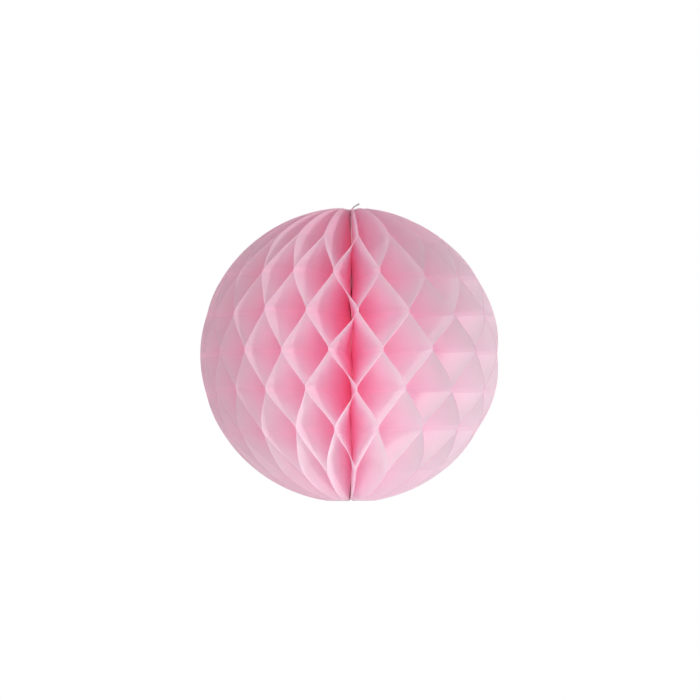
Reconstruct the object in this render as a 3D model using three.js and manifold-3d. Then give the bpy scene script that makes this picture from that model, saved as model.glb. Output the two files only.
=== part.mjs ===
// Honeycomb paper ball, hung by a thread. Half discs of tissue paper lie on one another, are glued along
// short strips in staggered rows and are fanned right round the thread, so that the gaps between the
// strips open into a honeycomb of cells.
// Millimetres, +Z up along the thread, origin at the centre of the ball, -Y towards the front.

import * as THREE from 'three';
import Module from 'manifold-3d';
import { mergeVertices } from 'three/addons/utils/BufferGeometryUtils.js';

// Driving dimensions: the ball
const BALL_RADIUS = 50; // at the equator
const POLE_HEIGHT = 48.5; // from the centre to the flat at either pole
const POLE_FLAT_RADIUS = 8.8; // of those flats

// Driving dimensions: the leaves
const LEAF_PAIRS = 20; // half the number of leaves, because glue strips alternate from leaf to leaf
const LEAF_THICKNESS = 0.35; // stands in for tissue paper
const GLUE_ROW_STEP = 12.7; // height from one row of glue strips to the next
const GLUE_STRIP_HEIGHT = 2;
const CELL_FLOOR_WIDTH = 0.4; // of the narrowest cell, where it ends at the packed core
const EDGE_EASE = 0.1; // how much the leaves bend at a strip: 0 is a sharp fold, 1 a full curve

// Driving dimensions: how the leaves are fanned, in angles from the front towards +X
const FRONT_COLUMN_ANGLE = THREE.MathUtils.degToRad(2.2);
const WIDEST_CELLS_ANGLE = THREE.MathUtils.degToRad(67);
const FAN_UNEVENNESS = 0.23; // by what share the widest cells are wider than the mean

// Driving dimensions: the thread
const THREAD_DIAMETER = 0.5;
const KNOT_DIAMETER = 1.6;
const THREAD_CLEARANCE = 0.3; // between the thread or its knots and the paper
const TAIL_POINTS = [
  [0.45, 0, 0],
  [1.2, 0, 1],
  [2, 0, 1.6],
  [3.05, 0, 2.2],
]; // of the cut tail, from the centre of the top pole's flat

// How finely the curves are cut up
const SLANT_STEPS = 3; // up the slant of a cell from one glue row to the next
const POLE_STEPS = 5; // from the last glue row to the pole
const THREAD_SIDES = 8;
const TAIL_STEPS = 10;
const KNOT_STEPS = 6; // from pole to pole of a knot

const TISSUE = new THREE.MeshStandardMaterial({ color: 0xf3bed0, roughness: 0.9, flatShading: true });
const COTTON = new THREE.MeshStandardMaterial({ color: 0xb9b4b4, roughness: 0.8 });

// What follows from the driving dimensions
const columnCount = 2 * LEAF_PAIRS;
const lastRow = Math.floor((POLE_HEIGHT - GLUE_STRIP_HEIGHT) / GLUE_ROW_STEP);
const columns = Array.from({ length: columnCount }, (_, column) => column);
const rows = Array.from({ length: 2 * lastRow + 1 }, (_, index) => index - lastRow);
const ellipseHeight = POLE_HEIGHT / Math.sqrt(1 - (POLE_FLAT_RADIUS / BALL_RADIUS) ** 2);
const narrowestStep = Math.min(...columns.map((column) => columnAngle(column + 1) - columnAngle(column)));
const coreRadius = (LEAF_THICKNESS + CELL_FLOOR_WIDTH / 2) / narrowestStep;
const boreRadius = THREAD_DIAMETER / 2 + THREAD_CLEARANCE;
const knotRadius = KNOT_DIAMETER / 2;
const recessRadius = knotRadius + THREAD_CLEARANCE;
const recessDepth = KNOT_DIAMETER + 2 * THREAD_CLEARANCE;
const knotHeight = POLE_HEIGHT - recessDepth / 2;

// The angle of a column of glue strips round the thread.
function columnAngle(column) {
  const even = (2 * Math.PI * column) / columnCount;
  const swell = Math.sin(even - WIDEST_CELLS_ANGLE) + Math.sin(WIDEST_CELLS_ANGLE);
  return FRONT_COLUMN_ANGLE + even + FAN_UNEVENNESS * swell;
}

// The outer radius of the leaves at a height.
function rimRadius(height) {
  return BALL_RADIUS * Math.sqrt(1 - (height / ellipseHeight) ** 2);
}

// Strips and cells take turns in the columns and rows, like the squares of a chessboard.
function hasStrip(column, row) {
  return Math.abs(column + row) % 2 === 1;
}

// The points and triangles of one closed body, gathered until the body is whole.
class Shell {
  points = [];
  corners = [];

  // A point at a distance from the axis along the line at an angle, moved sideways off that line.
  point(angle, distance, sideways, height) {
    const x = distance * Math.sin(angle) + sideways * Math.cos(angle);
    const y = -distance * Math.cos(angle) + sideways * Math.sin(angle);
    this.points.push(x, y, height);
    return this.points.length / 3 - 1;
  }

  triangle(a, b, c) {
    this.corners.push(a, b, c);
  }

  // Two triangles that share the edge from a to c, or one where two corners are the same point.
  quad(a, b, c, d) {
    if (a !== b) this.triangle(a, b, c);
    if (c !== d) this.triangle(a, c, d);
  }

  geometry() {
    const geometry = new THREE.BufferGeometry();
    geometry.setAttribute('position', new THREE.Float32BufferAttribute(this.points, 3));
    geometry.setIndex(this.corners);
    geometry.computeVertexNormals();
    return geometry;
  }
}

// Steps up a slant of a cell, each with its opening: 0 where the cell ends in a point, 1 at its widest.
function slantSteps(low, high, opens) {
  return Array.from({ length: SLANT_STEPS + 1 }, (_, step) => {
    const share = step / SLANT_STEPS;
    const curved = share * share * (3 - 2 * share);
    const opening = share + EDGE_EASE * (curved - share);
    return { height: low + share * (high - low), opening: opens ? opening : 1 - opening };
  });
}

// Steps along the rim between the last glue row and a pole, where a cell stays at its widest.
function poleSteps(low, high) {
  const start = Math.asin(low / ellipseHeight);
  const turn = Math.asin(high / ellipseHeight) - start;
  return Array.from({ length: POLE_STEPS + 1 }, (_, step) => {
    const height = ellipseHeight * Math.sin(start + (turn * step) / POLE_STEPS);
    return { height, opening: 1 };
  });
}

// The outline, from the bottom up, of a cell that is widest at a row. It ends in a point at the glue strip
// of its own column below and above, or runs out at a pole.
function cellOutline(row) {
  const half = GLUE_STRIP_HEIGHT / 2;
  const widestLow = row * GLUE_ROW_STEP - half;
  const widestHigh = row * GLUE_ROW_STEP + half;
  const lower =
    row > -lastRow
      ? slantSteps((row - 1) * GLUE_ROW_STEP + half, widestLow, true)
      : poleSteps(-POLE_HEIGHT, widestLow);
  const upper =
    row < lastRow
      ? slantSteps(widestHigh, (row + 1) * GLUE_ROW_STEP - half, false)
      : poleSteps(widestHigh, POLE_HEIGHT);
  return { steps: [...lower, ...upper], low: lower.length - 1, high: lower.length };
}

// A cell is a pocket from the rim to the packed core. Its two sides are made of level lines towards the
// thread, each from a rim point to a core point, and they stand off from the glue line by one leaf.
function addCell(shell, column, row) {
  const { steps, low, high } = cellOutline(row);
  const middle = columnAngle(column);
  const line = (side, { height, opening }) => {
    const angle = middle + opening * (columnAngle(column + side) - middle);
    const sideways = -side * opening * LEAF_THICKNESS;
    const reach = Math.sqrt(rimRadius(height) ** 2 - sideways ** 2);
    return {
      rim: shell.point(angle, reach, sideways, height),
      core: shell.point(angle, coreRadius, sideways, height),
    };
  };
  const left = steps.map((step) => line(-1, step));
  const right = steps.map((step, index) => (step.opening > 0 ? line(1, step) : left[index]));
  for (let i = 0; i + 1 < steps.length; i += 1) {
    const [leftLow, leftHigh, rightLow, rightHigh] = [left[i], left[i + 1], right[i], right[i + 1]];
    shell.quad(leftLow.rim, leftLow.core, leftHigh.core, leftHigh.rim);
    shell.quad(rightLow.rim, rightHigh.rim, rightHigh.core, rightLow.core);
    shell.quad(leftLow.core, rightLow.core, rightHigh.core, leftHigh.core);
  }
  return { left, right, low, high };
}

// The cut edge of the paper along the rim, between the right side of one cell and the left side of another.
function addEdge(shell, cell, start, other, otherStart, stepCount) {
  for (let i = 0; i < stepCount; i += 1) {
    const [a, d] = [cell.right[start + i].rim, cell.right[start + i + 1].rim];
    const [b, c] = [other.left[otherStart + i].rim, other.left[otherStart + i + 1].rim];
    shell.quad(a, b, c, d);
  }
}

// The rim of a glue strip: two leaves thick, with the points of the cells below and above at its ends.
function addStrip(shell, leftCell, rightCell, cellBelow, cellAbove) {
  const [a, d] = [leftCell.right[leftCell.low].rim, leftCell.right[leftCell.high].rim];
  const [b, c] = [rightCell.left[rightCell.low].rim, rightCell.left[rightCell.high].rim];
  const below = cellBelow?.left.at(-1).rim;
  const above = cellAbove?.left[0].rim;
  const outline = [a, below, b, c, above, d].filter((corner) => corner !== undefined);
  const hub = below ?? above;
  const first = outline.indexOf(hub);
  for (let i = 1; i + 1 < outline.length; i += 1) {
    shell.triangle(hub, outline[(first + i) % outline.length], outline[(first + i + 1) % outline.length]);
  }
}

// The flat at a pole: the ends of the leaf pairs, and the packed core round the mouth of the knot's recess.
function addPoleFlat(shell, pairs, mouth, faceUp) {
  const quad = (a, b, c, d) => (faceUp ? shell.quad(a, b, c, d) : shell.quad(d, c, b, a));
  pairs.forEach(({ start, end }, i) => {
    const j = (i + 1) % pairs.length;
    quad(start.rim, end.rim, end.core, start.core);
    quad(start.core, end.core, mouth[i], mouth[i]);
    quad(end.core, pairs[j].start.core, mouth[j], mouth[i]);
  });
}

// The hole for the thread, with a recess for a knot at either end. Each ring has a point on each leaf pair.
function addBore(shell, pairColumns) {
  const recessFloor = POLE_HEIGHT - recessDepth;
  const profile = [
    [recessRadius, POLE_HEIGHT],
    [recessRadius, recessFloor],
    [boreRadius, recessFloor],
    [boreRadius, -recessFloor],
    [recessRadius, -recessFloor],
    [recessRadius, -POLE_HEIGHT],
  ];
  const rings = profile.map(([radius, height]) =>
    pairColumns.map((column) => shell.point(columnAngle(column), radius, 0, height)),
  );
  for (let i = 0; i + 1 < rings.length; i += 1) {
    const [upper, lower] = [rings[i], rings[i + 1]];
    upper.forEach((_, j) => {
      const k = (j + 1) % upper.length;
      shell.quad(upper[j], upper[k], lower[k], lower[j]);
    });
  }
  return { top: rings[0], bottom: rings.at(-1) };
}

function tissueHoneycomb() {
  const shell = new Shell();
  const cells = new Map();
  const key = (column, row) => `${(column + columnCount) % columnCount} ${row}`;
  const cellAt = (column, row) => cells.get(key(column, row));
  const squares = columns.flatMap((column) => rows.map((row) => [column, row]));
  const cellSquares = squares.filter(([column, row]) => !hasStrip(column, row));
  const stripSquares = squares.filter(([column, row]) => hasStrip(column, row));
  const pairColumns = columns.filter((column) => hasStrip(column, lastRow));

  for (const [column, row] of cellSquares) cells.set(key(column, row), addCell(shell, column, row));

  for (const [column, row] of cellSquares) {
    const cell = cellAt(column, row);
    const [below, above] = [cellAt(column + 1, row - 1), cellAt(column + 1, row + 1)];
    if (below) addEdge(shell, cell, 0, below, below.high, SLANT_STEPS);
    if (above) addEdge(shell, cell, cell.high, above, 0, SLANT_STEPS);
  }

  for (const [column, row] of stripSquares) {
    const [leftCell, rightCell] = [cellAt(column - 1, row), cellAt(column + 1, row)];
    addStrip(shell, leftCell, rightCell, cellAt(column, row - 1), cellAt(column, row + 1));
    if (row === lastRow) addEdge(shell, leftCell, leftCell.high, rightCell, rightCell.high, POLE_STEPS);
    if (row === -lastRow) addEdge(shell, leftCell, 0, rightCell, 0, POLE_STEPS);
  }

  const { top, bottom } = addBore(shell, pairColumns);
  const pairsAt = (row, end) =>
    pairColumns.map((column) => ({
      start: cellAt(column - 1, row).right.at(end),
      end: cellAt(column + 1, row).left.at(end),
    }));
  addPoleFlat(shell, pairsAt(lastRow, -1), top, true);
  addPoleFlat(shell, pairsAt(-lastRow, 0), bottom, false);
  return shell.geometry();
}

// The thread: a straight run through the bore, a knot in either recess and the cut tail at the top.
function spineThread(wasm) {
  const run = new THREE.CylinderGeometry(THREAD_DIAMETER / 2, THREAD_DIAMETER / 2, 2 * knotHeight, THREAD_SIDES);
  run.rotateX(Math.PI / 2);
  const knots = [-knotHeight, knotHeight].map((height) =>
    new THREE.SphereGeometry(knotRadius, THREAD_SIDES, KNOT_STEPS).rotateX(Math.PI / 2).translate(0, 0, height),
  );
  const route = new THREE.CatmullRomCurve3([
    new THREE.Vector3(0, 0, knotHeight),
    ...TAIL_POINTS.map(([x, y, z]) => new THREE.Vector3(x, y, POLE_HEIGHT + z)),
  ]);
  const section = new THREE.Shape().absarc(0, 0, THREAD_DIAMETER / 2, 0, 2 * Math.PI);
  const tail = new THREE.ExtrudeGeometry(section, {
    extrudePath: route,
    steps: TAIL_STEPS,
    curveSegments: THREAD_SIDES / 2,
  });
  return joined(wasm, [run, ...knots, tail]);
}

// One geometry from several closed ones that reach into each other.
function joined(wasm, geometries) {
  const solids = geometries.map((geometry) => {
    geometry.deleteAttribute('normal');
    geometry.deleteAttribute('uv');
    const merged = mergeVertices(geometry);
    const mesh = new wasm.Mesh({
      numProp: 3,
      vertProperties: merged.attributes.position.array,
      triVerts: new Uint32Array(merged.index.array),
    });
    return new wasm.Manifold(mesh);
  });
  const { vertProperties, triVerts } = solids.reduce((whole, solid) => whole.add(solid)).getMesh();
  const geometry = new THREE.BufferGeometry();
  geometry.setAttribute('position', new THREE.BufferAttribute(vertProperties, 3));
  geometry.setIndex(new THREE.BufferAttribute(triVerts, 1));
  geometry.computeVertexNormals();
  return geometry;
}

function named(name, geometry, material) {
  const mesh = new THREE.Mesh(geometry, material);
  mesh.name = name;
  return mesh;
}

const wasm = await Module();
wasm.setup();

const ball = new THREE.Group();
ball.name = 'honeycomb_ball';
ball.add(named('tissue_honeycomb', tissueHoneycomb(), TISSUE));
ball.add(named('spine_thread', spineThread(wasm), COTTON));

export default ball;
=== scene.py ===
# %% [markdown]
# # A honeycomb paper ball
# The ball is forty half discs of pink tissue paper. They are stacked, glued to each other along short
# staggered strips, bound at their straight edge by one thread and fanned right round, so that the glued
# stack opens into six-sided cells. The solid model already fixes the ball's size and place. This lesson
# dresses it: thin leaves instead of solid walls, and a twisted thread instead of a smooth rod.

# %% Load the fixed frame
import math

import bpy
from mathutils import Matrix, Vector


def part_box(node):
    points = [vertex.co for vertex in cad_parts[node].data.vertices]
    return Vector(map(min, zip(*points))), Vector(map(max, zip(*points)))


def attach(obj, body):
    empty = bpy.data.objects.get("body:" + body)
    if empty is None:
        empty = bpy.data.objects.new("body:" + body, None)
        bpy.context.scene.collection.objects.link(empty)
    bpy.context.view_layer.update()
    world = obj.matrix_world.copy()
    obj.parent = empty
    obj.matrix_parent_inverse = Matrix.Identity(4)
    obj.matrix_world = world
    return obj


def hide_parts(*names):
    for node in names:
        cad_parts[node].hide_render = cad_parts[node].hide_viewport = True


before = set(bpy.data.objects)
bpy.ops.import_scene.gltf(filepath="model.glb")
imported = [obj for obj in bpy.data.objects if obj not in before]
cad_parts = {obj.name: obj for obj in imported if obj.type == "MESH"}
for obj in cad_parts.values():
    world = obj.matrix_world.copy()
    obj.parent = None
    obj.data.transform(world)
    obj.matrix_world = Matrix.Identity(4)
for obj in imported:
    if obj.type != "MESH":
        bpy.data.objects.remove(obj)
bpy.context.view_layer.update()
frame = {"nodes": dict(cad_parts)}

MILLIMETRE = 0.001


print("solid nodes:", ", ".join(frame["nodes"]))

# %% [markdown]
# ## Picture settings
# Tissue looks deep pink inside the cells because light bounces from wall to wall before it comes out, and
# each bounce takes away more of its green and blue. A renderer that stops after four bounces leaves the
# cells grey, so many more are allowed here. The Standard view shows colours as they are written.

# %% Set the view and the bounces
LIGHT_BOUNCES = 400

scene = bpy.context.scene
scene.view_settings.view_transform = "Standard"
scene.cycles.max_bounces = LIGHT_BOUNCES
scene.cycles.diffuse_bounces = LIGHT_BOUNCES
scene.cycles.transmission_bounces = LIGHT_BOUNCES
print("view:", scene.view_settings.view_transform, "diffuse bounces:", scene.cycles.diffuse_bounces)

# %% [markdown]
# ## Camera
# The ball hangs a little above the lens, so the picture shows slightly more of the undersides of the rows.
# It is taken from far off with a long lens, which keeps the cells at the edge as large as those in the
# middle. A Track To constraint could point the camera. It stands straight in front of the ball, though, so
# one small upward tilt is enough.

# %% Place the camera
CAMERA_DISTANCE = 1.2
CAMERA_ELEVATION = math.radians(-3.2)
PICTURE_WIDTH_AT_BALL = 0.234
SENSOR_WIDTH = 36.0
AIM_HEIGHT = 1.67 * MILLIMETRE

lens = bpy.data.cameras.new("picture_camera")
lens.sensor_width = SENSOR_WIDTH
lens.lens = SENSOR_WIDTH * CAMERA_DISTANCE / PICTURE_WIDTH_AT_BALL
camera = bpy.data.objects.new("picture_camera", lens)
camera.location = (
    0.0,
    -CAMERA_DISTANCE * math.cos(CAMERA_ELEVATION),
    AIM_HEIGHT + CAMERA_DISTANCE * math.sin(CAMERA_ELEVATION),
)
camera.rotation_euler = (math.radians(90.0) - CAMERA_ELEVATION, 0.0, 0.0)
scene.collection.objects.link(camera)
scene.camera = camera
print("lens:", round(lens.lens, 1), "mm, camera at", [round(value, 3) for value in camera.location])

# %% [markdown]
# ## Studio light
# Paper craft is pictured in an even, white surround. Large soft lamps stand for the windows and white walls
# of such a studio, and a weak one behind the ball keeps its back readable. Two small lamps are added, because
# only a small lamp draws a clear edge of light inside a cell: a key lamp right of the front and nearly level
# with the ball, and a low lamp close by on the right, whose light comes up through the paper. Each lamp is
# set by the direction it shines from, which is easier to read than a turned matrix.

# %% Hang the lamps
from mathutils import Vector

SOFT_DISTANCE = 1.6
SOFT_SIZE = 1.0
KEY_SIZE = 0.12
LOW_DISTANCE = 0.46
LOW_SIZE = 0.06


def hang_lamp(name, azimuth, elevation, power, distance=SOFT_DISTANCE, size=SOFT_SIZE):
    """Hang a square lamp that faces the ball; azimuth 0 is the front, 90 the right."""
    turn = math.radians(azimuth)
    lift = math.radians(elevation)
    towards = Vector(
        (math.sin(turn) * math.cos(lift), -math.cos(turn) * math.cos(lift), math.sin(lift))
    )
    data = bpy.data.lights.new(name, "AREA")
    data.shape = "SQUARE"
    data.size = size
    data.energy = power
    lamp = bpy.data.objects.new(name, data)
    lamp.location = towards * distance
    lamp.rotation_euler = (-towards).to_track_quat("-Z", "Y").to_euler()
    lamp.visible_camera = False
    scene.collection.objects.link(lamp)
    return lamp


lamps = [
    hang_lamp("front_lamp", azimuth=0.0, elevation=0.0, power=5.4),
    hang_lamp("left_lamp", azimuth=-60.0, elevation=0.0, power=8.3),
    hang_lamp("right_lamp", azimuth=60.0, elevation=0.0, power=2.6),
    hang_lamp("back_lamp", azimuth=180.0, elevation=25.0, power=3.0),
    hang_lamp("key_lamp", azimuth=40.0, elevation=8.0, power=6.4, size=KEY_SIZE),
    hang_lamp("low_lamp", azimuth=90.0, elevation=-48.0, power=0.5, distance=LOW_DISTANCE, size=LOW_SIZE),
]
print("lamps:", ", ".join(f"{lamp.name} {lamp.data.energy:g} W" for lamp in lamps))

# %% [markdown]
# ## Sums in a node tree
# The world, the papers and the leaves below are all node trees, and a page of sums as loose Math nodes is
# hard to read. This small helper lets the script write a sum as a sum: adding two Field values adds a Math
# node and returns its result as the next Field. The same class works in a shader and in Geometry Nodes.

# %% Write sums as nodes
class Field:
    """A value inside a node tree; a number can be used in ordinary sums."""

    def __init__(self, tree, socket):
        self.tree = tree
        self.socket = socket

    def math(self, operation, *others):
        node = self.tree.nodes.new("ShaderNodeMath")
        node.operation = operation
        for place, value in enumerate((self, *others)):
            feed(node.inputs[place], value)
        return take(node)

    def __add__(self, other):
        return self.math("ADD", other)

    def __sub__(self, other):
        return self.math("SUBTRACT", other)

    def __mul__(self, other):
        return self.math("MULTIPLY", other)

    def __truediv__(self, other):
        return self.math("DIVIDE", other)

    def __neg__(self):
        return self.math("MULTIPLY", -1.0)

    def clamp(self, low, high):
        return self.math("MAXIMUM", low).math("MINIMUM", high)

    def towards(self, other, share):
        """The value that lies the given share of the way to another one."""
        return self + (other - self) * share

    def ramp(self, low, high, at_low=0.0, at_high=1.0):
        """A soft change from one value to another while this one goes from low to high."""
        node = add_node(self.tree, "ShaderNodeMapRange", {"interpolation_type": "SMOOTHSTEP"}, Value=self)
        ends = {"From Min": low, "From Max": high, "To Min": at_low, "To Max": at_high}
        for label, value in ends.items():
            feed(node.inputs[label], value)
        return take(node, "Result")


def take(node, output=0):
    """One output of a node as a Field."""
    return Field(node.id_data, node.outputs[output])


def feed(socket, value):
    """Link a Field to an input, or set the input to a plain value."""
    if isinstance(value, Field):
        value.tree.links.new(value.socket, socket)
    else:
        socket.default_value = value


def add_node(tree, kind, settings=None, **inputs):
    """Add a node, set its options, and feed its inputs by name."""
    node = tree.nodes.new(kind)
    for option, value in (settings or {}).items():
        setattr(node, option, value)
    for label, value in inputs.items():
        feed(node.inputs[label.replace("_", " ")], value)
    return node


def mix_shaders(tree, share, first, second):
    """Mix two shader nodes by a share of the second."""
    node = add_node(tree, "ShaderNodeMixShader", Fac=share)
    tree.links.new(first.outputs[0], node.inputs[1])
    tree.links.new(second.outputs[0], node.inputs[2])
    return node


print("sums are ready")

# %% [markdown]
# ## Surround
# The world fills in the rest with plain white light. What the camera sees behind the ball is a separate
# matter: Light Path picks a strength of exactly 1 for camera, glossy and transmission rays, which is paper
# white in the picture, and the lower lighting strength for all the rest. Light that tissue sends on is a
# transmission ray and a diffuse ray at once, so the diffuse rays are taken off again: they light the ball.

# %% Light the world
SURROUND_STRENGTH = 0.28
WHITE = (1.0, 1.0, 1.0, 1.0)

world = bpy.data.worlds.new("white_surround")
world.use_nodes = True
scene.world = world
surround = world.node_tree
surround.nodes.clear()
path = add_node(surround, "ShaderNodeLightPath")
through_glass = take(path, "Is Transmission Ray") - take(path, "Is Diffuse Ray")
seen = take(path, "Is Camera Ray").math("MAXIMUM", take(path, "Is Glossy Ray"))
lighting = add_node(surround, "ShaderNodeBackground", Color=WHITE, Strength=SURROUND_STRENGTH)
paper_white = add_node(surround, "ShaderNodeBackground", Color=WHITE, Strength=1.0)
choice = mix_shaders(surround, seen.math("MAXIMUM", through_glass), lighting, paper_white)
surround_end = add_node(surround, "ShaderNodeOutputWorld")
surround.links.new(choice.outputs[0], surround_end.inputs["Surface"])
print("world lights with", SURROUND_STRENGTH, "and shows white")

# %% [markdown]
# ## Floor
# The ball hangs free, so the floor is a pale disc well below it. It is out of the picture, but seen from a
# higher angle it carries the ball's soft shadow. Most lamps hang about level with the ball and light the
# floor only weakly, so a share of what the camera sees of it is plain white. Towards its edge all of it is,
# so that the floor runs into the white surround without an edge.

# %% Lay the floor
FLOOR_HEIGHT = -0.4
FLOOR_RADIUS = 1.5
FLOOR_SIDES = 96
FLOOR_COLOUR = (0.86, 0.86, 0.86, 1.0)
WHITE_FROM = 0.45
WHITE_TO = 1.3
WHITE_IN_MIDDLE = 0.6

floor_mesh = bpy.data.meshes.new("studio_floor")
floor_rim = [
    (
        FLOOR_RADIUS * math.cos(2.0 * math.pi * step / FLOOR_SIDES),
        FLOOR_RADIUS * math.sin(2.0 * math.pi * step / FLOOR_SIDES),
        FLOOR_HEIGHT,
    )
    for step in range(FLOOR_SIDES)
]
floor_mesh.from_pydata(floor_rim, [], [list(range(FLOOR_SIDES))])
floor = bpy.data.objects.new("studio_floor", floor_mesh)
scene.collection.objects.link(floor)
print("floor disc of", FLOOR_RADIUS, "m radius,", -FLOOR_HEIGHT, "m below the ball's middle")

# %% Paint the floor
def start_material(name):
    """Start a material and return it with its tree and its Principled surface."""
    material = bpy.data.materials.new(name)
    material.use_nodes = True
    tree = material.node_tree
    return material, tree, tree.nodes["Principled BSDF"]


floor_paint, paint_tree, paint = start_material("floor_paint")
paint.inputs["Base Color"].default_value = FLOOR_COLOUR
paint.inputs["Roughness"].default_value = 0.9
paint.inputs["Specular IOR Level"].default_value = 0.1
spot = take(add_node(paint_tree, "ShaderNodeTexCoord"), "Object")
from_middle = add_node(paint_tree, "ShaderNodeVectorMath", {"operation": "LENGTH"})
feed(from_middle.inputs[0], spot)
whiter = take(from_middle, "Value").ramp(WHITE_FROM, WHITE_TO, WHITE_IN_MIDDLE, 1.0)
only_seen = whiter * take(add_node(paint_tree, "ShaderNodeLightPath"), "Is Camera Ray")
plain_white = add_node(paint_tree, "ShaderNodeEmission", Strength=1.0)
floor_look = mix_shaders(paint_tree, only_seen, paint, plain_white)
paint_tree.links.new(floor_look.outputs[0], paint_tree.nodes["Material Output"].inputs["Surface"])
floor_mesh.materials.append(floor_paint)
print("floor paint:", len(paint_tree.nodes), "nodes")

# %% [markdown]
# ## Fibres in the tissue
# Tissue is made of long soft fibres that run along the sheet, with thin and thick clouds between them. Both
# are noises, and the fibres' noise is stretched along the sheet's own directions. The leaves carry those
# directions as an attribute named sheet, so the fibres follow each leaf round the ball instead of cutting
# straight through it.

# %% Lay the fibres
FIBRES_PER_METRE = 900.0
CLOUDS_PER_METRE = 120.0
FIBRE_STRETCH = (1.0, 1.0, 0.18)

tissue, paper, matt = start_material("tissue_paper")


def read_mark(name, output="Fac"):
    """Read one of the marks that the leaves carry."""
    return take(add_node(paper, "ShaderNodeAttribute", {"attribute_name": name}), output)


sheet = read_mark("sheet", "Vector")
stretched = add_node(paper, "ShaderNodeMapping", Vector=sheet, Scale=FIBRE_STRETCH)
fibre_noise = add_node(paper, "ShaderNodeTexNoise", Scale=FIBRES_PER_METRE, Detail=4.0)
feed(fibre_noise.inputs["Vector"], take(stretched, "Vector"))
fibres = take(fibre_noise, "Fac")
cloud_noise = add_node(paper, "ShaderNodeTexNoise", Vector=sheet, Scale=CLOUDS_PER_METRE, Detail=3.0)
clouds = take(cloud_noise, "Fac")
print("fibres and clouds:", len(paper.nodes), "nodes so far")

# %% [markdown]
# ## Dye of the tissue, with painted light and shade
# The pink is painted paler towards the lower right of the ball, in soft patches: painted light from there.
# The glue strips are painted a little paler, painted light against the deeper shade where two sheets lie
# together.
# The cut rim is painted deeper pink, painted shade, and in three places near the spine the leaves are painted
# dark, painted shade in the deep narrow gap there. Each of these is a tint that is laid over the last one.
# Tissue throws back a deeper pink than it sends on, so the same tints are laid over two different pairs of
# colours. All are written paler than the ball looks, because the light meets the paper many times before it
# leaves a cell.

# %% Lay the tints
# Painted light: each pair is the pink on the shaded side and, paler, on the side where more light is painted;
# the first pair is thrown back, the second sent on.
SHADED_SIDE_DYE = (0.998, 0.838, 0.916, 1.0)
LIT_SIDE_DYE = (0.999, 0.907, 0.954, 1.0)
SHADED_SIDE_GLOW = (0.9995, 0.947, 0.974, 1.0)
LIT_SIDE_GLOW = (0.9998, 0.981, 0.991, 1.0)
# Painted light: the glue strips are painted a little paler, against the deeper shade where two sheets lie
# together.
STRIP_LIGHT_TINT = (0.9998, 0.995, 0.997, 1.0)
# Painted shade: the cut rim is painted deeper pink over the last sliver of the leaf's width.
RIM_SHADE_DYE = (0.995, 0.76, 0.87, 1.0)
# Painted shade: near the spine the leaves are painted dark in three places, for the deep narrow gap there.
SPINE_SHADE_DYE = (0.6, 0.14, 0.22, 1.0)
# Painted light: the pink turns paler towards this lower-right side, between these two distances along it, in
# soft patches.
PAINTED_LIGHT_SIDE = (0.75, 0.0, -0.65)
SHADED_BELOW = -45.0 * MILLIMETRE
LIT_ABOVE = 45.0 * MILLIMETRE
PATCHES = 15.0 * MILLIMETRE
# How strongly the glue strips are painted paler, as painted light.
STRIP_LIGHT_SHARE = 0.06
RIM_SHADE_FROM = 0.996
RIM_SHADE_TO = 0.9995
SPINE_SHADE_FROM = 1.0 * MILLIMETRE
SPINE_SHADE_TO = 2.2 * MILLIMETRE

# Painted light: paler towards the lower right, in soft random patches.
to_painted_light_side = add_node(paper, "ShaderNodeVectorMath", {"operation": "DOT_PRODUCT"})
feed(to_painted_light_side.inputs[0], take(add_node(paper, "ShaderNodeTexCoord"), "Object"))
feed(to_painted_light_side.inputs[1], PAINTED_LIGHT_SIDE)
patchy = (clouds + fibres) * PATCHES - PATCHES
painted_side_light = (take(to_painted_light_side, "Value") + patchy).ramp(SHADED_BELOW, LIT_ABOVE)
# Painted light on the glue strips.
glued = read_mark("glued").ramp(0.0, 1.0, 0.0, STRIP_LIGHT_SHARE)
# Painted shade along the cut rim.
painted_rim_shade = read_mark("reach").ramp(RIM_SHADE_FROM, RIM_SHADE_TO)
from_spine = take(add_node(paper, "ShaderNodeSeparateXYZ", Vector=sheet), "X")
# Painted shade: dark near the spine, where the leaves are marked for it.
painted_spine_shade = from_spine.ramp(SPINE_SHADE_FROM, SPINE_SHADE_TO, 1.0, 0.0) * read_mark("painted_spine_shade")


def tint(share, first, second):
    """Lay the second colour over the first one by a share."""
    return take(
        add_node(paper, "ShaderNodeMix", {"data_type": "RGBA"}, Factor=share, A=first, B=second), "Result"
    )


def dyed_with_painted_light(shaded_side_colour, lit_side_colour):
    """The colour all over a leaf: its pink on the shaded and the lit side, with painted light and shade laid
    over.
    """
    colour = tint(painted_side_light, shaded_side_colour, lit_side_colour)
    colour = tint(glued, colour, STRIP_LIGHT_TINT)
    colour = tint(painted_rim_shade, colour, RIM_SHADE_DYE)
    return tint(painted_spine_shade, colour, SPINE_SHADE_DYE)


thrown_back = dyed_with_painted_light(SHADED_SIDE_DYE, LIT_SIDE_DYE)
sent_on = dyed_with_painted_light(SHADED_SIDE_GLOW, LIT_SIDE_GLOW)
print("dyed tissue:", len(paper.nodes), "nodes so far")

# %% [markdown]
# ## Thin matt surface
# Tissue of this kind weighs about 18 grams a square metre, so it sends on more light than it throws back.
# One shader can't do both, so a matt Principled surface is mixed with a Translucent one. The fibres raise a
# fine bump on both.

# %% Finish the tissue paper
SENT_ON_SHARE = 0.6

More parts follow.
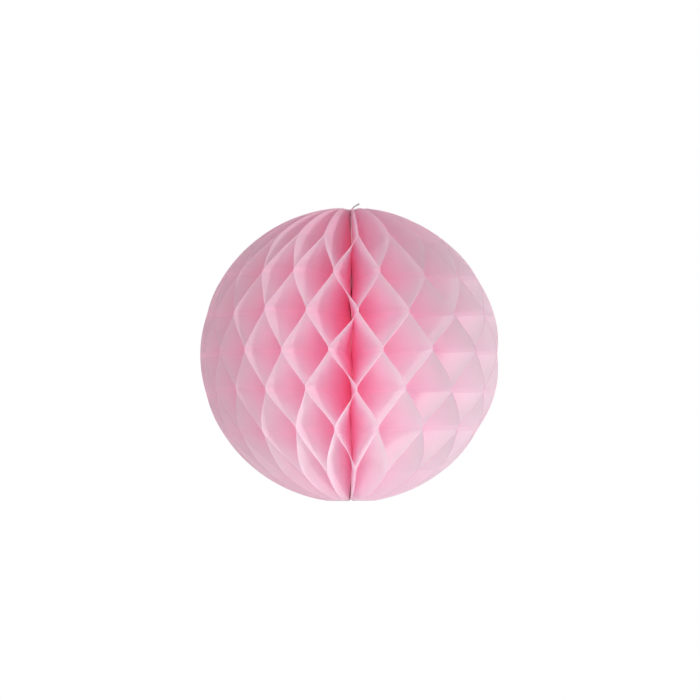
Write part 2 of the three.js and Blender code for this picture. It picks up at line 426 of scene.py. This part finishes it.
relief = take(
    add_node(paper, "ShaderNodeBump", Strength=0.25, Distance=0.1 * MILLIMETRE, Height=fibres), "Normal"
)
matt.inputs["Roughness"].default_value = 0.85
matt.inputs["Specular IOR Level"].default_value = 0.15
matt.inputs["Sheen Weight"].default_value = 0.1
feed(matt.inputs["Base Color"], thrown_back)
feed(matt.inputs["Normal"], relief)
glow = add_node(paper, "ShaderNodeBsdfTranslucent", Color=sent_on, Normal=relief)
paper_look = mix_shaders(paper, SENT_ON_SHARE, matt, glow)
paper.links.new(paper_look.outputs[0], paper.nodes["Material Output"].inputs["Surface"])
print("tissue paper:", len(paper.nodes), "nodes")

# %% [markdown]
# ## Run a node tree
# Every leaf follows one rule, so Geometry Nodes can make all forty. A tree starts with named inputs, so that
# its sizes can be changed without opening it. It is run on a starting mesh, and the result is kept as a
# plain mesh, because a live modifier would not be handed over with the object.

# %% Start and run trees
def start_tree(name, inputs):
    """Start a tree with named inputs, given as name: (socket type, value)."""
    tree = bpy.data.node_groups.new(name, "GeometryNodeTree")
    tree.interface.new_socket("Geometry", in_out="INPUT", socket_type="NodeSocketGeometry")
    for label, (kind, _) in inputs.items():
        tree.interface.new_socket(label, in_out="INPUT", socket_type=kind)
    tree.interface.new_socket("Geometry", in_out="OUTPUT", socket_type="NodeSocketGeometry")
    entry = tree.nodes.new("NodeGroupInput")
    return tree, {socket.name: Field(tree, socket) for socket in entry.outputs if socket.name}


def run_tree(tree, inputs, starting_mesh):
    """Run a tree on a mesh and keep the result as a plain mesh object."""
    piece = bpy.data.objects.new(tree.name, starting_mesh)
    scene.collection.objects.link(piece)
    modifier = piece.modifiers.new(tree.name, "NODES")
    modifier.node_group = tree
    for item in tree.interface.items_tree:
        if item.in_out == "INPUT" and item.name in inputs:
            modifier[item.identifier] = inputs[item.name][1]
    evaluated = piece.evaluated_get(bpy.context.evaluated_depsgraph_get())
    made = bpy.data.meshes.new_from_object(evaluated)
    piece.modifiers.remove(modifier)
    piece.data = made
    bpy.data.meshes.remove(starting_mesh)
    made.name = tree.name
    made.calc_loop_triangles()
    print(f"{tree.name}: {len(made.vertices)} points, {len(made.loop_triangles)} triangles")
    return piece


print("trees can be started and run")

# %% [markdown]
# ## The rule of one leaf
# A leaf starts as a flat grid: across it from the spine to the rim, and up it from pole to pole. The rows of
# glue strips stand one step apart. On every row a leaf is glued to one of its two neighbours, and on the
# next row to the other, so its angle swings to and fro between two columns as it climbs. The columns are not
# spaced evenly: the fan of this ball was opened wider on one side than on the other.

# %% Size the leaves
BALL_RADIUS = 50.0 * MILLIMETRE
POLE_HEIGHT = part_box("tissue_honeycomb")[1][2]
POLE_FLAT_RADIUS = 8.8 * MILLIMETRE
LEAVES = 40
ROWS_EACH_WAY = 3
STEPS_PER_ROW = 10
STEPS_PER_HALF_STRIP = 1
STEPS_AT_POLE = 10
STEPS_ACROSS = 9

FLOAT = "NodeSocketFloat"
WHOLE = "NodeSocketInt"
leaf_sizes = {
    "Leaves": (WHOLE, LEAVES),
    "Ball Radius": (FLOAT, BALL_RADIUS),
    "Pole Height": (FLOAT, POLE_HEIGHT),
    "Pole Flat Radius": (FLOAT, POLE_FLAT_RADIUS),
    "Row Step": (FLOAT, 12.7 * MILLIMETRE),
    "Strip Height": (FLOAT, 1.4 * MILLIMETRE),
    "Paper Thickness": (FLOAT, 0.12 * MILLIMETRE),
    "Glue Gap": (FLOAT, 0.03 * MILLIMETRE),
    "Spine Radius": (FLOAT, 1.2 * MILLIMETRE),
    "Front Angle": (FLOAT, math.radians(2.2)),
    "Widest Angle": (FLOAT, math.radians(67.0)),
    "Unevenness": (FLOAT, 0.23),
    "Fold Ease": (FLOAT, 0.2),
    "Taller On Left": (FLOAT, 0.028),
    "Row Lift": (FLOAT, -0.3 * MILLIMETRE),
    "Pole Stretch": (FLOAT, 1.6 * MILLIMETRE),
    "Pole Sag": (FLOAT, 0.6 * MILLIMETRE),
    "Pole Turn": (FLOAT, math.radians(2.2)),
    "Glue Stray Angle": (FLOAT, math.radians(0.8)),
    "Glue Stray Height": (FLOAT, 0.5 * MILLIMETRE),
    "Edge Flutter": (FLOAT, 0.5 * MILLIMETRE),
    "Pole Stray": (FLOAT, 0.25 * MILLIMETRE),
    "Spine Shift": (FLOAT, 0.45 * MILLIMETRE),
    "Spine Stray": (FLOAT, 1.2 * MILLIMETRE),
    "Spine Wave": (FLOAT, 14.0 * MILLIMETRE),
    "Seed": (WHOLE, 7),
    "Paper": ("NodeSocketMaterial", tissue),
}
print(LEAVES, "leaves with", 2 * ROWS_EACH_WAY + 1, "rows of glue strips")

# %% [markdown]
# ## Forty blank leaves
# A blank leaf is a flat closed box with enough steps to bend. The tree puts one on each point of a line, and
# every copy keeps its own number, because the rule needs to know which leaf it is bending. The copies are
# realized first, so that each one can be bent in its own way.

# %% Repeat one blank leaf
leaf_tree, size = start_tree("tissue_leaves", leaf_sizes)
steps_up = 2 * (ROWS_EACH_WAY * STEPS_PER_ROW + STEPS_PER_HALF_STRIP + STEPS_AT_POLE)
blank_leaf = add_node(leaf_tree, "GeometryNodeMeshCube")
blank_leaf.inputs["Vertices X"].default_value = STEPS_ACROSS + 1
blank_leaf.inputs["Vertices Y"].default_value = 2
blank_leaf.inputs["Vertices Z"].default_value = steps_up + 1
stack = add_node(leaf_tree, "GeometryNodeMeshLine", {"mode": "OFFSET"}, Count=size["Leaves"])
stack.inputs["Offset"].default_value = (0.0, 0.0, 0.0)
copies = add_node(leaf_tree, "GeometryNodeInstanceOnPoints")
leaf_tree.links.new(stack.outputs["Mesh"], copies.inputs["Points"])
leaf_tree.links.new(blank_leaf.outputs["Mesh"], copies.inputs["Instance"])
numbered = add_node(
    leaf_tree, "GeometryNodeStoreNamedAttribute", {"data_type": "INT", "domain": "INSTANCE"}, Name="leaf"
)
count_up = add_node(leaf_tree, "GeometryNodeInputIndex")
leaf_tree.links.new(copies.outputs["Instances"], numbered.inputs["Geometry"])
leaf_tree.links.new(count_up.outputs[0], numbered.inputs["Value"])
flat_leaves = add_node(leaf_tree, "GeometryNodeRealizeInstances")
leaf_tree.links.new(numbered.outputs["Geometry"], flat_leaves.inputs["Geometry"])
print("a blank leaf has", STEPS_ACROSS, "steps across and", steps_up, "steps up")

# %% [markdown]
# ## Rows and columns
# Each point of the blank leaf has to know which two rows it lies between. The steps up the leaf are shared
# out so that every strip starts and ends on a line of points. Tissue is too soft to crease where a strip
# ends, so Fold Ease rounds the swing a little there.

# %% Find the rows
number = take(
    add_node(leaf_tree, "GeometryNodeInputNamedAttribute", {"data_type": "INT"}, Name="leaf"), "Attribute"
)
blank_place = take(add_node(leaf_tree, "GeometryNodeInputPosition"))
parts = add_node(leaf_tree, "ShaderNodeSeparateXYZ", Vector=blank_place)
across = take(parts, "X") + 0.5
face = take(parts, "Y") * 2.0
climb = take(parts, "Z") * (steps_up / STEPS_PER_ROW)

strip_share = size["Strip Height"] / size["Row Step"] * 0.5
strip_steps = STEPS_PER_HALF_STRIP / STEPS_PER_ROW
nearest_row = climb.clamp(-ROWS_EACH_WAY, ROWS_EACH_WAY).math("ROUND")
from_row = climb - nearest_row
off_row = from_row.math("ABSOLUTE")
on_strip = (off_row / strip_steps).clamp(0.0, 1.0) * strip_share
on_slant = ((off_row - strip_steps) / (0.5 - strip_steps)).clamp(0.0, 1.0)
row = nearest_row + from_row.math("SIGN") * (on_strip + on_slant * (-strip_share + 0.5))
row = row.math("MINIMUM", strip_share + ROWS_EACH_WAY).math("MAXIMUM", -strip_share - ROWS_EACH_WAY)
pole_share = (climb.math("ABSOLUTE") - (ROWS_EACH_WAY + strip_steps)) / (STEPS_AT_POLE / STEPS_PER_ROW)
pole_share = pole_share.clamp(0.0, 1.0)

row_below = row.math("FLOOR").clamp(-ROWS_EACH_WAY, ROWS_EACH_WAY - 1)
row_above = row_below + 1.0
between = (row - row_below).clamp(0.0, 1.0)
swing = ((between - strip_share) / (strip_share * -2.0 + 1.0)).clamp(0.0, 1.0)
smooth_swing = swing * swing * (swing * -2.0 + 3.0)
swing = swing.towards(smooth_swing, size["Fold Ease"])
print("rows are found for every point of the leaf")

# %% [markdown]
# ## Where a strip lies
# A strip belongs to a column and a row. Its angle comes from the fan, and both leaves that meet there must
# get the same answer, so the small stray of a glue line made by hand is a random value picked by column and
# row, not by leaf.

# %% Find the strips
FULL_TURN = 2.0 * math.pi
DRAWS_PER_COLUMN = 16.0
DRAW_OF_MIDDLE_ROW = 8.0
ANGLE_DRAWS = 0
HEIGHT_DRAWS = 100
POLE_DRAWS = 200
POLE_ROW = 5.0


def stray(column, row_number, reach, draws):
    """A fixed random value for the strip in one column and row, from one set of draws."""
    wrapped = column.math("FLOORED_MODULO", size["Leaves"])
    chance = add_node(leaf_tree, "FunctionNodeRandomValue", {"data_type": "FLOAT"})
    sockets = {socket.name: socket for socket in chance.inputs if socket.enabled}
    sockets["Min"].default_value = -1.0
    sockets["Max"].default_value = 1.0
    feed(sockets["ID"], wrapped * DRAWS_PER_COLUMN + row_number + DRAW_OF_MIDDLE_ROW)
    feed(sockets["Seed"], size["Seed"] + draws)
    drawn = next(socket for socket in chance.outputs if socket.enabled)
    return Field(leaf_tree, drawn) * reach


def strip_angle(column, row_number):
    """The turn of a strip from the front towards the right."""
    even = column * FULL_TURN / size["Leaves"]
    spread = (even - size["Widest Angle"]).math("SINE") + size["Widest Angle"].math("SINE")
    to_pole = row_number / ROWS_EACH_WAY
    turned = to_pole * to_pole * size["Pole Turn"]
    fanned = even + spread * size["Unevenness"] + size["Front Angle"]
    return fanned + turned + stray(column, row_number, size["Glue Stray Angle"], ANGLE_DRAWS)


def strip_height(column, row_number, angle):
    """The height of a strip, on rows that open a little wider on the left."""
    opened = angle.math("SINE") * size["Taller On Left"] * -1.0 + 1.0
    level = row_number * size["Row Step"] * opened + size["Row Lift"]
    to_pole = row_number / ROWS_EACH_WAY
    pulled = (to_pole * size["Pole Stretch"] - size["Pole Sag"]) * to_pole.math("POWER", 4.0)
    return level + pulled + stray(column, row_number, size["Glue Stray Height"], HEIGHT_DRAWS)


parity = (number + row_below).math("FLOORED_MODULO", 2.0)
column_below = number + 1.0 - parity
column_above = number + parity
angle_below = strip_angle(column_below, row_below)
angle_above = strip_angle(column_above, row_above)
angle = angle_below.towards(angle_above, swing)
height_below = strip_height(column_below, row_below, angle_below)
height_above = strip_height(column_above, row_above, angle_above)
height = height_below + (height_above - height_below) * (row - row_below)
print("strips are found for every leaf")

# %% [markdown]
# ## Round rim
# The rim of the leaf follows an ellipse that ends in a small flat at each pole. Above the last row of strips
# a leaf simply runs on to its pole, and the leaves don't all end at quite the same height.

# %% Round the rim
pole_slope = size["Pole Flat Radius"] / size["Ball Radius"]
ellipse_height = size["Pole Height"] / (pole_slope * pole_slope * -1.0 + 1.0).math("SQRT")
pole_sign = climb.math("SIGN")
last_strip_turn = (height / ellipse_height).clamp(-1.0, 1.0).math("ARCSINE")
leaf_top = size["Pole Height"] + stray(number, pole_sign * POLE_ROW, size["Pole Stray"], POLE_DRAWS)
pole_turn = (leaf_top / ellipse_height).clamp(0.0, 1.0).math("ARCSINE") * pole_sign
height = last_strip_turn.towards(pole_turn, pole_share).math("SINE") * ellipse_height
flatness = height / ellipse_height
rim = (flatness * flatness * -1.0 + 1.0).math("MAXIMUM", 0.0).math("SQRT") * size["Ball Radius"]
radius = size["Spine Radius"] + (rim - size["Spine Radius"]) * across
print("the rim is round, with a flat of", POLE_FLAT_RADIUS / MILLIMETRE, "mm radius at each pole")

# %% [markdown]
# ## Loose edges and a wandering spine
# Nothing holds the rim between two strips, so it flutters a little there. The binding isn't quite straight
# either: the leaves' inner edges wander to and fro along the thread. Both are noises, one for each leaf and
# one that all leaves share. In three places, each given by its height and half its length in millimetres,
# the leaves are marked for dark painted shade near the spine, where the gap between them is deep and narrow.

# %% Let the edges stray
GUSTS_PER_LEAF = 3.7
GUSTS_PER_ROW = 1.1
# Heights and half lengths, in millimetres, of the three places painted dark as shade near the spine.
SPINE_SHADE_PLACES = [(44.2, 2.8), (20.5, 9.0), (-46.0, 3.2)]

wind = add_node(leaf_tree, "ShaderNodeCombineXYZ")
feed(wind.inputs["X"], number * GUSTS_PER_LEAF)
feed(wind.inputs["Y"], row * GUSTS_PER_ROW)
feed(wind.inputs["Z"], size["Seed"] * 1.0)
gusts = add_node(leaf_tree, "ShaderNodeTexNoise", Vector=take(wind), Scale=1.0, Detail=1.0)
loose = swing * (swing * -1.0 + 1.0) * 4.0
flutter = (take(gusts) - 0.5) * 2.0 * size["Edge Flutter"] * loose * across

drift = add_node(leaf_tree, "ShaderNodeTexNoise", {"noise_dimensions": "1D"}, Scale=1.0, Detail=1.0)
feed(drift.inputs["W"], height / size["Spine Wave"] + size["Seed"])
drift_parts = add_node(leaf_tree, "ShaderNodeSeparateXYZ", Vector=take(drift, "Color"))
near_spine = (across * -1.0 + 1.0).math("POWER", 3.0)
wander = near_spine * size["Spine Stray"] * 2.0
drift_x = (take(drift_parts, "X") - 0.5) * wander + near_spine * size["Spine Shift"]
drift_y = (take(drift_parts, "Y") - 0.5) * wander

# Where dark painted shade is laid near the spine.
spine_shade_share = 0.0
for middle, half_length in SPINE_SHADE_PLACES:
    off_middle = (height - middle * MILLIMETRE) / (half_length * MILLIMETRE)
    spine_shade_share = (off_middle * off_middle * -1.0 + 1.0).math("MAXIMUM", spine_shade_share)
print("edges stray, and the binding pinches in", len(SPINE_SHADE_PLACES), "places")

# %% [markdown]
# ## Thin paper
# Two leaves on one strip lie side by side, a paper's thickness and a film of glue apart. Each leaf keeps its
# two faces half a thickness to either side of its middle, so the flat box becomes a bent sheet.

# %% Bend the leaves
glued_side = (parity * 2.0 - 1.0) * (swing * -2.0 + 1.0)
half_pair = (size["Paper Thickness"] + size["Glue Gap"]) * 0.5
sideways = glued_side * half_pair + face * size["Paper Thickness"] * 0.5 + flutter
sine = angle.math("SINE")
cosine = angle.math("COSINE")
bent = add_node(leaf_tree, "ShaderNodeCombineXYZ")
feed(bent.inputs["X"], radius * sine + sideways * cosine + drift_x)
feed(bent.inputs["Y"], sideways * sine - radius * cosine + drift_y)
feed(bent.inputs["Z"], height)
print("leaves are bent to the ball")

# %% [markdown]
# ## Marks for the dye and the painted light
# The paper's shader can't know the rule of the leaf, so the tree leaves it four marks on every point: its
# place on its own flat sheet, how near it is to a glue strip, where dark painted shade is laid near the
# spine, and how far it reaches from the spine to the rim.

# %% Mark the leaves
SHEET_SPACING = 137.0 * MILLIMETRE
# How fast the painted light of the glue strips fades out on the slants and towards the poles.
STRIP_LIGHT_FADE_ON_SLANT = 4.0
STRIP_LIGHT_FADE_AT_POLE = 8.0

on_sheet = add_node(leaf_tree, "ShaderNodeCombineXYZ")
feed(on_sheet.inputs["X"], radius)
feed(on_sheet.inputs["Y"], number * SHEET_SPACING)
feed(on_sheet.inputs["Z"], height)
# Where the glue strips are painted paler as painted light: on the strips, fading out on the slants and at the
# poles.
strip_light_on_slant = (on_slant * -STRIP_LIGHT_FADE_ON_SLANT + 1.0).clamp(0.0, 1.0)
strip_light_at_pole = (pole_share * -STRIP_LIGHT_FADE_AT_POLE + 1.0).clamp(0.0, 1.0)
marks = {
    "sheet": ("FLOAT_VECTOR", take(on_sheet)),
    "glued": ("FLOAT", strip_light_on_slant * strip_light_at_pole),
    "painted_spine_shade": ("FLOAT", spine_shade_share),
    "reach": ("FLOAT", across),
}
marked = flat_leaves
for name, (kind, value) in marks.items():
    mark = add_node(leaf_tree, "GeometryNodeStoreNamedAttribute", {"data_type": kind, "domain": "POINT"})
    mark.inputs["Name"].default_value = name
    leaf_tree.links.new(marked.outputs["Geometry"], mark.inputs["Geometry"])
    feed(mark.inputs["Value"], value)
    marked = mark
print("marks:", ", ".join(marks))

# %% [markdown]
# ## Finish the leaves
# The points move to their bent places only after they are marked. The rim stays crisp because edges that
# turn sharply are marked sharp, and the rest is shaded smooth, so that the folds look soft.

# %% Finish and run the leaf tree
SHARP_TURN = math.radians(50.0)

moved = add_node(leaf_tree, "GeometryNodeSetPosition")
leaf_tree.links.new(marked.outputs["Geometry"], moved.inputs["Geometry"])
leaf_tree.links.new(bent.outputs[0], moved.inputs["Position"])
edge_turn = take(add_node(leaf_tree, "GeometryNodeInputMeshEdgeAngle"), "Unsigned Angle")
sharp = edge_turn.math("GREATER_THAN", SHARP_TURN)
crisp = add_node(leaf_tree, "GeometryNodeSetShadeSmooth", {"domain": "EDGE"})
leaf_tree.links.new(moved.outputs["Geometry"], crisp.inputs["Geometry"])
feed(crisp.inputs["Shade Smooth"], sharp * -1.0 + 1.0)
whole = add_node(leaf_tree, "GeometryNodeRealizeInstances")
leaf_tree.links.new(crisp.outputs["Geometry"], whole.inputs["Geometry"])
papered = add_node(leaf_tree, "GeometryNodeSetMaterial", Material=size["Paper"])
leaf_tree.links.new(whole.outputs["Geometry"], papered.inputs["Geometry"])
leaf_end = leaf_tree.nodes.new("NodeGroupOutput")
leaf_tree.links.new(papered.outputs["Geometry"], leaf_end.inputs[0])

leaves = run_tree(leaf_tree, leaf_sizes, bpy.data.meshes.new("leaves_start"))
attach(leaves, "root")
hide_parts("tissue_honeycomb")

# %% [markdown]
# ## Cotton thread
# Sewing thread is a few plies of cotton twisted together, grey-white here, with short fibres that stand off
# and catch the light. The colour changes a little along the thread, which a small noise on the thread's own
# object coordinates gives, and a soft sheen stands for the fibres.

# %% Mix the cotton
FUZZ_PER_METRE = 4200.0
COTTON_SHADE = (0.36, 0.33, 0.33, 1.0)
COTTON_LIGHT = (0.62, 0.58, 0.58, 1.0)

cotton, cotton_tree, strand = start_material("cotton_thread")
cotton_place = take(add_node(cotton_tree, "ShaderNodeTexCoord"), "Object")
fuzz_noise = add_node(cotton_tree, "ShaderNodeTexNoise", Scale=FUZZ_PER_METRE, Detail=3.0)
feed(fuzz_noise.inputs["Vector"], cotton_place)
fuzz = take(fuzz_noise, "Fac")
shade = add_node(
    cotton_tree, "ShaderNodeMix", {"data_type": "RGBA"}, Factor=fuzz, A=COTTON_SHADE, B=COTTON_LIGHT
)
nap = add_node(cotton_tree, "ShaderNodeBump", Strength=0.4, Distance=0.05 * MILLIMETRE, Height=fuzz)
strand.inputs["Roughness"].default_value = 0.8
strand.inputs["Specular IOR Level"].default_value = 0.2
strand.inputs["Sheen Weight"].default_value = 0.3
feed(strand.inputs["Base Color"], take(shade, "Result"))
feed(strand.inputs["Normal"], take(nap, "Normal"))
print("cotton thread:", len(cotton_tree.nodes), "nodes")

# %% [markdown]
# ## Route of the spine thread
# The thread runs down the middle of the ball and is wound into a small barrel knot at each pole, so that it
# can't slip out. A short cut tail leans out of the top knot. The tail is a curve given as a short list of
# points, and the turns of a knot are a helix, so a loop works them out.

# %% Lay the thread's route
THREAD_DIAMETER = 0.5 * MILLIMETRE
KNOT_DEPTH = 1.1 * MILLIMETRE
KNOT_TURNS = 3
POINTS_PER_TURN = 14
SPINE_STEPS = 4
TAIL_POINTS = [(0.45, 0.0, 0.0), (1.2, 0.0, 1.0), (2.0, 0.0, 1.6), (3.05, 0.0, 2.2)]

knot_height = POLE_HEIGHT - KNOT_DEPTH
spine_run = [(0.0, 0.0, knot_height * step / SPINE_STEPS) for step in range(-SPINE_STEPS, SPINE_STEPS + 1)]
tail_run = [
    (x * MILLIMETRE, y * MILLIMETRE, POLE_HEIGHT + z * MILLIMETRE) for x, y, z in TAIL_POINTS
]


def knot_turns(middle):
    """The turns of thread that a barrel knot winds round the thread itself."""
    points = []
    for step in range(KNOT_TURNS * POINTS_PER_TURN + 1):
        turns = step / POINTS_PER_TURN
        around = FULL_TURN * turns
        rise = (turns - KNOT_TURNS / 2.0) * THREAD_DIAMETER
        points.append(
            (THREAD_DIAMETER * math.cos(around), THREAD_DIAMETER * math.sin(around), middle + rise)
        )
    return points


runs = [spine_run + tail_run, knot_turns(-knot_height), knot_turns(knot_height)]
route_points = [point for run in runs for point in run]
route_edges = []
first = 0
for run in runs:
    route_edges += [(first + step, first + step + 1) for step in range(len(run) - 1)]
    first += len(run)
route = bpy.data.meshes.new("thread_route")
route.from_pydata(route_points, route_edges, [])
thread_length = sum(
    (Vector(b) - Vector(a)).length for a, b in zip(runs[0][:-1], runs[0][1:])
)
print("thread from knot to cut end:", round(thread_length / MILLIMETRE, 1), "mm")

# %% [markdown]
# ## Twisted plies
# A plain tube would look like wire. Here the route is copied once for each ply, each copy is wound round the
# route as a helix, and a small round section is swept along it. At the cut end the twist lets go, and the
# plies spread.

# %% Copy the route for each ply
PLY_SHARE = 0.24
PLY_SIDES = 6

thread_sizes = {
    "Plies": (WHOLE, 3),
    "Thread Diameter": (FLOAT, THREAD_DIAMETER),
    "Twist Length": (FLOAT, 1.7 * MILLIMETRE),
    "Fray Length": (FLOAT, 0.9 * MILLIMETRE),
    "Fray Spread": (FLOAT, 1.0),
    "Step Length": (FLOAT, 0.16 * MILLIMETRE),
    "Cotton": ("NodeSocketMaterial", cotton),
}
thread_tree, twist = start_tree("twisted_thread", thread_sizes)
as_curve = add_node(thread_tree, "GeometryNodeMeshToCurve")
feed(as_curve.inputs["Mesh"], twist["Geometry"])
bend = add_node(thread_tree, "GeometryNodeCurveSplineType", {"spline_type": "CATMULL_ROM"})
thread_tree.links.new(as_curve.outputs["Curve"], bend.inputs["Curve"])
stepped = add_node(
    thread_tree, "GeometryNodeResampleCurve", {"mode": "LENGTH"}, Length=twist["Step Length"]
)
thread_tree.links.new(bend.outputs["Curve"], stepped.inputs["Curve"])
ply_points = add_node(thread_tree, "GeometryNodeMeshLine", {"mode": "OFFSET"}, Count=twist["Plies"])
ply_points.inputs["Offset"].default_value = (0.0, 0.0, 0.0)
ply_copies = add_node(thread_tree, "GeometryNodeInstanceOnPoints")
thread_tree.links.new(ply_points.outputs["Mesh"], ply_copies.inputs["Points"])
thread_tree.links.new(stepped.outputs["Curve"], ply_copies.inputs["Instance"])
ply_numbered = add_node(
    thread_tree, "GeometryNodeStoreNamedAttribute", {"data_type": "INT", "domain": "INSTANCE"}, Name="ply"
)
ply_count = add_node(thread_tree, "GeometryNodeInputIndex")
thread_tree.links.new(ply_copies.outputs["Instances"], ply_numbered.inputs["Geometry"])
thread_tree.links.new(ply_count.outputs[0], ply_numbered.inputs["Value"])
loose_plies = add_node(thread_tree, "GeometryNodeRealizeInstances")
thread_tree.links.new(ply_numbered.outputs["Geometry"], loose_plies.inputs["Geometry"])
print("the route is copied for", thread_sizes["Plies"][1], "plies")

# %% Wind the plies round the route
ply = take(
    add_node(thread_tree, "GeometryNodeInputNamedAttribute", {"data_type": "INT"}, Name="ply"), "Attribute"
)
along = take(add_node(thread_tree, "GeometryNodeSplineParameter"), "Length")
whole_run = take(add_node(thread_tree, "GeometryNodeSplineLength"), "Length")
to_end = (whole_run - along) / twist["Fray Length"]
is_spine = whole_run.math("GREATER_THAN", POLE_HEIGHT)
fray = (to_end * -1.0 + 1.0).clamp(0.0, 1.0) * is_spine * twist["Fray Spread"]
around = (along / twist["Twist Length"] + ply / twist["Plies"]) * FULL_TURN
ply_radius = twist["Thread Diameter"] * PLY_SHARE
stand_off = (twist["Thread Diameter"] * 0.5 - ply_radius) * (fray + 1.0)


def vector_sum(operation, first, second):
    """Add a Vector Math node on two values of the thread's tree."""
    node = add_node(thread_tree, "ShaderNodeVectorMath", {"operation": operation})
    feed(node.inputs[0], first)
    feed(node.inputs["Scale" if operation == "SCALE" else 1], second)
    return take(node)


normal = take(add_node(thread_tree, "GeometryNodeInputNormal"))
tangent = take(add_node(thread_tree, "GeometryNodeInputTangent"))
across_both = vector_sum("CROSS_PRODUCT", tangent, normal)
out_one = vector_sum("SCALE", normal, around.math("COSINE") * stand_off)
out_two = vector_sum("SCALE", across_both, around.math("SINE") * stand_off)
wound = add_node(thread_tree, "GeometryNodeSetPosition", Offset=vector_sum("ADD", out_one, out_two))
thread_tree.links.new(loose_plies.outputs["Geometry"], wound.inputs["Geometry"])
print("plies wind once every", round(thread_sizes["Twist Length"][1] / MILLIMETRE, 2), "mm")

# %% Sweep and run the thread tree
section = add_node(thread_tree, "GeometryNodeCurvePrimitiveCircle", {"mode": "RADIUS"}, Radius=ply_radius)
section.inputs["Resolution"].default_value = PLY_SIDES
swept = add_node(thread_tree, "GeometryNodeCurveToMesh")
swept.inputs["Fill Caps"].default_value = True
thread_tree.links.new(wound.outputs["Geometry"], swept.inputs["Curve"])
thread_tree.links.new(section.outputs["Curve"], swept.inputs["Profile Curve"])
thread_whole = add_node(thread_tree, "GeometryNodeRealizeInstances")
thread_tree.links.new(swept.outputs["Mesh"], thread_whole.inputs["Geometry"])
spun = add_node(thread_tree, "GeometryNodeSetMaterial", Material=twist["Cotton"])
thread_tree.links.new(thread_whole.outputs["Geometry"], spun.inputs["Geometry"])
thread_end = thread_tree.nodes.new("NodeGroupOutput")
thread_tree.links.new(spun.outputs["Geometry"], thread_end.inputs[0])

thread = run_tree(thread_tree, thread_sizes, route)
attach(thread, "root")
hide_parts("spine_thread")
